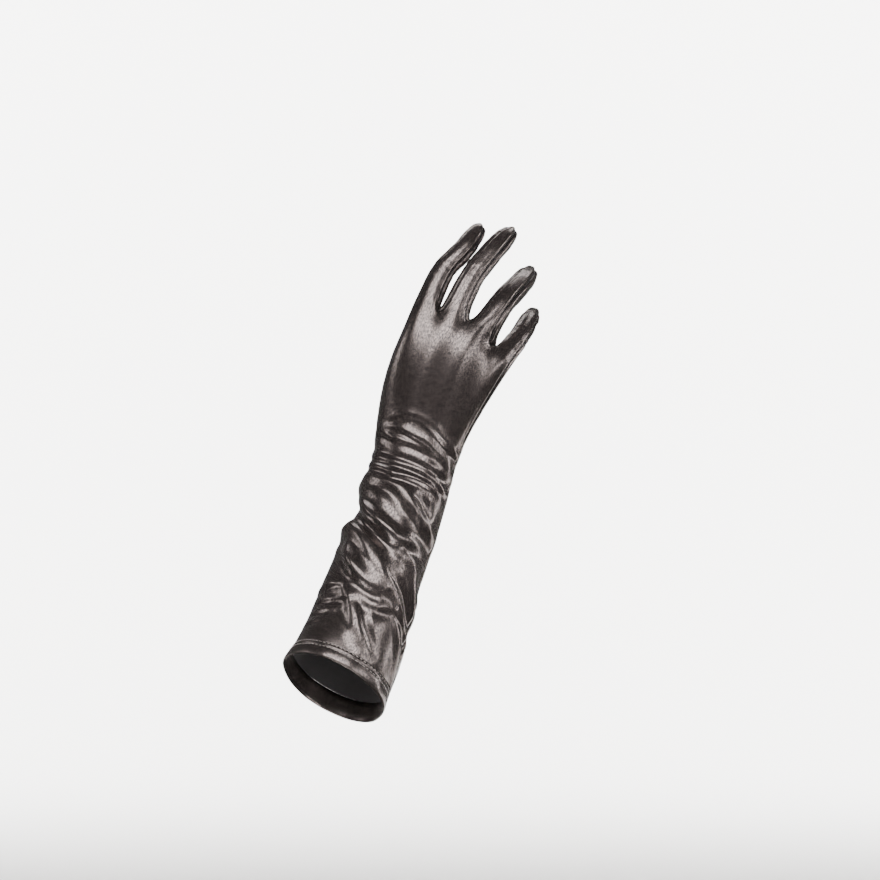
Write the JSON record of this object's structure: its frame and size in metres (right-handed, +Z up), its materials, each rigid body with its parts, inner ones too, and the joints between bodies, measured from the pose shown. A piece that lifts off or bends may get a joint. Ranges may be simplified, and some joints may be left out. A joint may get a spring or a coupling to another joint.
{
  "type": "long satin glove",
  "caption": "Elbow-length satin dress glove for the right hand, worn form with bent fingers, a slack folded sleeve and an open folded hem.",
  "frame": {"origin": "centre of the cuff opening, where the arm goes in", "axes": "+X from the thumb's side to the little finger's side, +Y from the back of the hand to the palm, +Z up, with the arm raised and leaning"},
  "size_m": [0.1731, 0.1668, 0.3378],
  "materials": {
    "satin": "black stretch satin with a soft sheen"
  },
  "bodies": {
    "root": {"back_panel": "satin", "palm_panel": "satin", "fourchette_index_middle": "satin", "fourchette_middle_ring": "satin", "fourchette_ring_little": "satin", "thumb_panel": "satin", "cuff_hem": "satin"}
  },
  "joints": []
}
